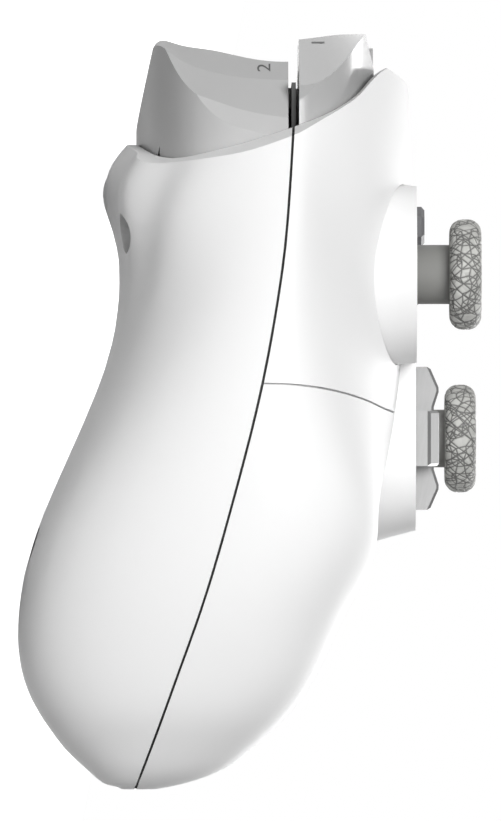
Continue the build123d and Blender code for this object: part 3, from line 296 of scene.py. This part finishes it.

# Seam: painted shade in the gap between the two shells: a dark sheet that stands in for the shadow there,
# and the shells' mating faces painted black
seam = {
    "reach": 100.0, "gap": 0.36, "inset": 0.5, "thick": 0.3, "slack": 0.12, "merge": 0.01,
    "line": (
        (0.0, 0.163), (0.084, 0.195), (0.167, 0.225), (0.251, 0.255), (0.335, 0.281), (0.418, 0.304),
        (0.502, 0.326), (0.586, 0.345), (0.669, 0.360), (0.753, 0.372), (0.837, 0.379), (0.921, 0.384),
        (1.2, 0.388),
    ),
}
fromFace = faceMatrix.inverted()


def aboveSeam(point):
    spot = fromFace @ point / mm
    share = spot.y / seam["reach"]
    line = seam["line"]
    pair = next((pair for pair in zip(line, line[1:]) if share <= pair[1][0]), (line[-2], line[-1]))
    (y0, z0), (y1, z1) = pair
    return spot.z - (z0 + (z1 - z0) * (share - y0) / (y1 - y0)) * seam["reach"]


# the faces of a shell that meet the other shell are painted black: painted shade in the seam
def paintSeamShade(name, side):
    mesh = nodes[name].data
    level = side * seam["gap"] / 2
    mating = [abs(aboveSeam(vert.co) - level) < seam["slack"] for vert in mesh.vertices]
    mesh.materials.append(finishes["black"])
    faces = [poly for poly in mesh.polygons if all(mating[k] for k in poly.vertices)]
    for poly in faces:
        poly.material_index = 1
    print("mating faces on", name, len(faces))


def keepLargestIsland(bm):
    islands = []
    waiting = set(bm.faces)
    while waiting:
        island = [waiting.pop()]
        for face in island:
            for edge in face.edges:
                for other in edge.link_faces:
                    if other in waiting:
                        waiting.remove(other)
                        island.append(other)
        islands.append(island)
    islands.sort(key=lambda island: sum(face.calc_area() for face in island))
    small = [face for island in islands[:-1] for face in island]
    bmesh.ops.delete(bm, geom=small, context="FACES")


def makeSeamShadowSheet():
    # the rear shell's mating faces, drawn in from their edges and thickened into the gap, as a black sheet
    # that paints the shadow in the seam
    bm = bmesh.new()
    bm.from_mesh(nodes["rear_shell"].data)
    bmesh.ops.remove_doubles(bm, verts=bm.verts[:], dist=seam["merge"] * mm)
    level = -seam["gap"] / 2
    away = [vert for vert in bm.verts if abs(aboveSeam(vert.co) - level) > seam["slack"]]
    bmesh.ops.delete(bm, geom=away, context="VERTS")
    keepLargestIsland(bm)
    rim = bmesh.ops.inset_region(
        bm, faces=bm.faces[:], thickness=seam["inset"] * mm, use_boundary=True, use_even_offset=True,
    )
    bmesh.ops.delete(bm, geom=rim["faces"], context="FACES")
    out = turn.to_3x3() @ Vector((0, 0, 1))
    lift = (seam["gap"] - seam["thick"]) / 2
    bmesh.ops.translate(bm, vec=out * lift * mm, verts=bm.verts[:])
    grown = bmesh.ops.extrude_face_region(bm, geom=bm.faces[:])
    lifted = [item for item in grown["geom"] if isinstance(item, bmesh.types.BMVert)]
    bmesh.ops.translate(bm, vec=out * seam["thick"] * mm, verts=lifted)
    for vert in bm.verts:
        vert.co.y = max(vert.co.y, cadBox[0][1] + seam["inset"] * mm)
    bmesh.ops.recalc_face_normals(bm, faces=bm.faces[:])
    mesh = bpy.data.meshes.new("seamShadowSheet")
    bm.to_mesh(mesh)
    bm.free()
    piece = bpy.data.objects.new("paintedSeamShadow", mesh)
    bpy.context.scene.collection.objects.link(piece)
    piece.data.materials.append(finishes["black"])
    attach(piece, "housing")
    print("gasket faces", len(mesh.polygons))


makeSeamShadowSheet()
paintSeamShade("rear_shell", -1)
paintSeamShade("front_shell", 1)

# Stick rings: a rounded band cut by a net of fine crossing grooves
stickRing = {
    "outer": 7.75, "inner": 5.45, "thickness": 4.49, "above": 15.3, "round": 1.9, "around": 600, "mesh": 1.1,
    "cuts": 1.9, "depth": 0.13, "width": 0.105, "seed": 11, "step": 0.085,
    "stray": 0.38, "links": 4, "bends": 6, "smooth": 0.3, "cell": 1.0, "turn": 1.1,
    "drift": 0.3, "reach": (0.55, 1.0), "sag": 0.9,
}
sticks = {"left": (-42.0, 72.0, 45.0), "right": (22.0, 48.9, 45.0)}


def ringProfile():
    r = stickRing["round"]
    outer, thick = stickRing["outer"], stickRing["thickness"]
    points = []

    def line(a, b):
        count = max(1, round(math.dist(a, b) / stickRing["step"]))
        for k in range(count):
            points.append((a[0] + (b[0] - a[0]) * k / count, a[1] + (b[1] - a[1]) * k / count))

    def arc(cx, cy, start):
        count = round(math.pi / 2 * r / stickRing["step"])
        for k in range(count):
            angle = start + math.pi / 2 * k / count
            points.append((cx + r * math.cos(angle), cy + r * math.sin(angle)))

    line((stickRing["inner"], 0), (outer - r, 0))
    arc(outer - r, r, -math.pi / 2)
    line((outer, r), (outer, thick - r))
    arc(outer - r, thick - r, 0)
    line((outer - r, thick), (stickRing["inner"], thick))
    points.append((stickRing["inner"], thick))
    return points


def netLines(length, across):
    # straight grooves between neighbouring points, strewn over the unrolled band and wrapped
    # at its ends
    pick = random.Random(stickRing["seed"])
    pitch = stickRing["mesh"]
    stray = stickRing["stray"]
    columns = round(length / pitch)
    rows = round(across / pitch)
    spots = []
    for row in range(-1, rows + 2):
        for column in range(columns):
            x = (column + (0.5 if row % 2 else 0.0) + pick.uniform(-stray, stray)) * length / columns
            y = (row + pick.uniform(-stray, stray)) * across / rows
            spots += [(x + shift, y) for shift in (-length, 0, length)]
    lines = []
    for x0, y0 in spots:
        if not -pitch <= x0 <= length + pitch:
            continue
        near = sorted(spots, key=lambda spot: math.dist(spot, (x0, y0)))[1:1 + stickRing["links"]]
        lines += [(x0, y0, *spot) for spot in near]
    # long bowed cuts that run across the whole band in both directions
    count = round(length / stickRing["cuts"])
    drift, sag = stickRing["drift"], stickRing["sag"]
    for slant in (-1, 1):
        for k in range(count):
            start = (k + pick.uniform(-drift, drift)) * length / count
            reach = slant * across * pick.uniform(*stickRing["reach"])
            bow = pick.uniform(-sag, sag)
            bends = []
            for n in range(stickRing["bends"] + 1):
                share = n / stickRing["bends"]
                bends.append((start + reach * share + bow * math.sin(math.pi * share), across * share))
            for (x0, y0), (x1, y1) in zip(bends, bends[1:]):
                lines += [(x0 + shift, y0, x1 + shift, y1) for shift in (-length, 0, length)]
    return lines


def grooveCells(lines):
    # every groove is listed in the coarse cells of the unrolled band that it comes near
    cell = stickRing["cell"]
    cells = {}
    for line in lines:
        x0, y0, x1, y1 = line
        for cx in range(math.floor(min(x0, x1) / cell) - 1, math.floor(max(x0, x1) / cell) + 2):
            for cy in range(math.floor(min(y0, y1) / cell) - 1, math.floor(max(y0, y1) / cell) + 2):
                cells.setdefault((cx, cy), []).append(line)
    return cells


def grooveDistance(cells, t, s):
    cell = stickRing["cell"]
    near = stickRing["outer"]
    for x0, y0, x1, y1 in cells.get((math.floor(t / cell), math.floor(s / cell)), ()):
        dx, dy = x1 - x0, y1 - y0
        foot = max(0.0, min(1.0, ((t - x0) * dx + (s - y0) * dy) / (dx * dx + dy * dy)))
        near = min(near, math.hypot(t - x0 - dx * foot, s - y0 - dy * foot))
    return near


def makeRing():
    profile = ringProfile()
    along = [0.0]
    for a, b in zip(profile, profile[1:]):
        along.append(along[-1] + math.dist(a, b))
    girth = 2 * math.pi * stickRing["outer"]
    cells = grooveCells(netLines(girth, along[-1]))
    bm = bmesh.new()
    cut = bm.verts.layers.float.new("groove")
    row = [bm.verts.new((r * mm, 0, h * mm)) for r, h in profile]
    edges = [bm.edges.new(pair) for pair in zip(row, row[1:])]
    bmesh.ops.spin(
        bm, geom=row + edges, cent=(0, 0, 0), axis=(0, 0, 1), angle=2 * math.pi,
        steps=stickRing["around"],
        use_merge=True, use_duplicate=False,
    )
    bmesh.ops.recalc_face_normals(bm, faces=bm.faces[:])
    bm.normal_update()
    moves = []
    for vert in bm.verts:
        r = math.hypot(vert.co.x, vert.co.y) / mm
        h = vert.co.z / mm
        s = min(zip(profile, along), key=lambda item: math.dist(item[0], (r, h)))[1]
        t = (math.atan2(vert.co.y, vert.co.x) % (2 * math.pi)) / (2 * math.pi) * girth
        share = math.exp(-((grooveDistance(cells, t, s) / stickRing["width"]) ** 2))
        if r < stickRing["inner"] + stickRing["smooth"]:
            share = 0.0
        moves.append((vert, share))
    for vert, share in moves:
        vert[cut] = share
        vert.co -= vert.normal * share * stickRing["depth"] * mm
    mesh = bpy.data.meshes.new("ringBand")
    bm.to_mesh(mesh)
    bm.free()
    mesh.shade_smooth()
    return mesh


def placeRings():
    band = makeRing()
    for side, (x, y, z) in sticks.items():
        mesh = band.copy()
        spun = Matrix.Rotation(stickRing["turn"] if side == "right" else 0.0, 4, "Z")
        lift = Matrix.Translation(Vector((x, y, z + stickRing["above"])) * mm)
        mesh.transform(faceMatrix @ lift @ spun)
        piece = bpy.data.objects.new(side + "StickBand", mesh)
        bpy.context.scene.collection.objects.link(piece)
        wear(piece, "ring")
        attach(piece, side + "_stick_body")
        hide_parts(side + "_stick_ring")


placeRings()
print("stick rings grooved")

# Numbers: thin marks laid on the surface of a piece. Each row gives the number, where its rays
# start and its height, and each kind gives the rays' way and the number's own two axes
marks = {
    "left_bumper": ("1", (-100, 104.5, 42.0), 1.9, "left"),
    "right_bumper": ("1", (100, 104.5, 42.0), 1.9, "right"),
    "left_trigger": ("2", (-100, 100.8, 34.4), 1.9, "left"),
    "right_trigger": ("2", (100, 100.8, 34.4), 1.9, "right"),
    "face_button_top": ("1", (42, 77.9, 70), 4.2, "face"),
    "face_button_right": ("2", (50.9, 69, 70), 4.2, "face"),
    "face_button_bottom": ("3", (42, 60.1, 70), 4.2, "face"),
    "face_button_left": ("4", (33.1, 69, 70), 4.2, "face"),
}
markWays = {
    "left": ((1, 0, 0), (0, 1, 0), (0, 0, -1)),
    "right": ((-1, 0, 0), (0, -1, 0), (0, 0, -1)),
    "face": ((0, 0, -1), (1, 0, 0), (0, 1, 0)),
}
markShape = {"lift": 0.015, "size": 1.4, "smoothness": 6, "cuts": 2}


def layMark(nodeName, text, spot, height, way):
    cast, across, up = markWays[way]
    data = bpy.data.curves.new("number", "FONT")
    data.body = text
    data.size = height * markShape["size"]
    data.align_x = "CENTER"
    data.align_y = "CENTER"
    data.resolution_u = markShape["smoothness"]
    flat = bpy.data.objects.new("number", data)
    bpy.context.scene.collection.objects.link(flat)
    mesh = bpy.data.meshes.new_from_object(flat.evaluated_get(bpy.context.evaluated_depsgraph_get()))
    bpy.data.objects.remove(flat)
    bm = bmesh.new()
    bm.from_mesh(mesh)
    bmesh.ops.triangulate(bm, faces=bm.faces[:])
    bmesh.ops.subdivide_edges(bm, edges=bm.edges[:], cuts=markShape["cuts"], use_grid_fill=True)
    node = nodes[nodeName]
    corners = [vert.co for vert in node.data.vertices]
    tree = BVHTree.FromPolygons(corners, [poly.vertices[:] for poly in node.data.polygons])
    spin = turn.to_3x3()
    ray = spin @ Vector(cast)
    lost = []
    for vert in bm.verts:
        start = Vector(spot) + Vector(across) * vert.co.x + Vector(up) * vert.co.y
        hit, normal, face, distance = tree.ray_cast(onFace(*start), ray)
        if hit is None:
            lost.append(vert)
            continue
        if normal.dot(ray) > 0:
            normal = -normal
        vert.co = hit + normal * markShape["lift"] * mm
    bmesh.ops.delete(bm, geom=lost, context="VERTS")
    bm.to_mesh(mesh)
    bm.free()
    mesh.materials.clear()
    piece = bpy.data.objects.new(nodeName + "Number", mesh)
    bpy.context.scene.collection.objects.link(piece)
    piece.data.materials.append(finishes["paint" if way == "face" else "ink"])
    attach(piece, nodeName + "_body")
    print("number on", nodeName, "points lost", len(lost))


for nodeName, row in marks.items():
    layMark(nodeName, *row)

# Floor, backdrop and lamps
studio = {
    "middle": (-20, 53, 32), "fill": 0.05, "floorSize": 6.0, "floorGap": 0.1,
    "floorShade": 0.45, "floorRough": 0.9,
}
lamps = {
    "keyLamp": {"direction": (-1.0, 0.24, 0.4), "distance": 1.8, "size": 1.0, "power": 31.5},
    "faceLamp": {"direction": (-0.12, 0.2, 1.0), "distance": 1.6, "size": 1.8, "power": 2.0},
    "farLamp": {"direction": (1.0, -0.35, 0.6), "distance": 1.8, "size": 1.4, "power": 24.0},
}


def directRay(tree):
    # one for the rays that look at the background, straight or by a mirror or glass
    path = addNode(tree, "ShaderNodeLightPath")
    factor = path.outputs["Is Camera Ray"]
    for name in ("Is Glossy Ray", "Is Transmission Ray"):
        either = addNode(tree, "ShaderNodeMath", operation="MAXIMUM")
        tree.links.new(factor, either.inputs[0])
        tree.links.new(path.outputs[name], either.inputs[1])
        factor = either.outputs[0]
    return factor


def makeFloor():
    mesh = bpy.data.meshes.new("floor")
    bm = bmesh.new()
    bmesh.ops.create_grid(bm, x_segments=1, y_segments=1, size=studio["floorSize"] / 2)
    bm.to_mesh(mesh)
    bm.free()
    floor = bpy.data.objects.new("floor", mesh)
    bpy.context.scene.collection.objects.link(floor)
    floor.location.z = cadBox[0][2] - studio["floorGap"] * mm
    material, tree, shader = newMaterial("paleFloor")
    shader.inputs["Base Color"].default_value = (*[studio["floorShade"]] * 3, 1)
    shader.inputs["Roughness"].default_value = studio["floorRough"]
    shader.inputs["Emission Color"].default_value = (1, 1, 1, 1)
    tree.links.new(directRay(tree), shader.inputs["Emission Strength"])
    mesh.materials.append(material)


def makeBackground():
    world = bpy.data.worlds.new("studio")
    bpy.context.scene.world = world
    world.use_nodes = True
    tree = world.node_tree
    back = tree.nodes["Background"]
    back.inputs["Color"].default_value = (1, 1, 1, 1)
    strength = rangeOf(tree, directRay(tree), studio["fill"], 1.0)
    tree.links.new(strength, back.inputs["Strength"])


def hangLamp(name, direction, distance, size, power):
    data = bpy.data.lights.new(name, "AREA")
    data.shape = "DISK"
    data.size = size
    data.energy = power
    piece = bpy.data.objects.new(name, data)
    bpy.context.scene.collection.objects.link(piece)
    out = (turn.to_3x3() @ Vector(direction)).normalized()
    place = Matrix.Translation(onFace(*studio["middle"]) + out * distance)
    piece.matrix_world = place @ out.to_track_quat("Z", "Y").to_matrix().to_4x4()


makeFloor()
makeBackground()
for name, row in lamps.items():
    hangLamp(name, **row)
print("studio lit")

scene = bpy.context.scene
scene.view_settings.view_transform = "Standard"
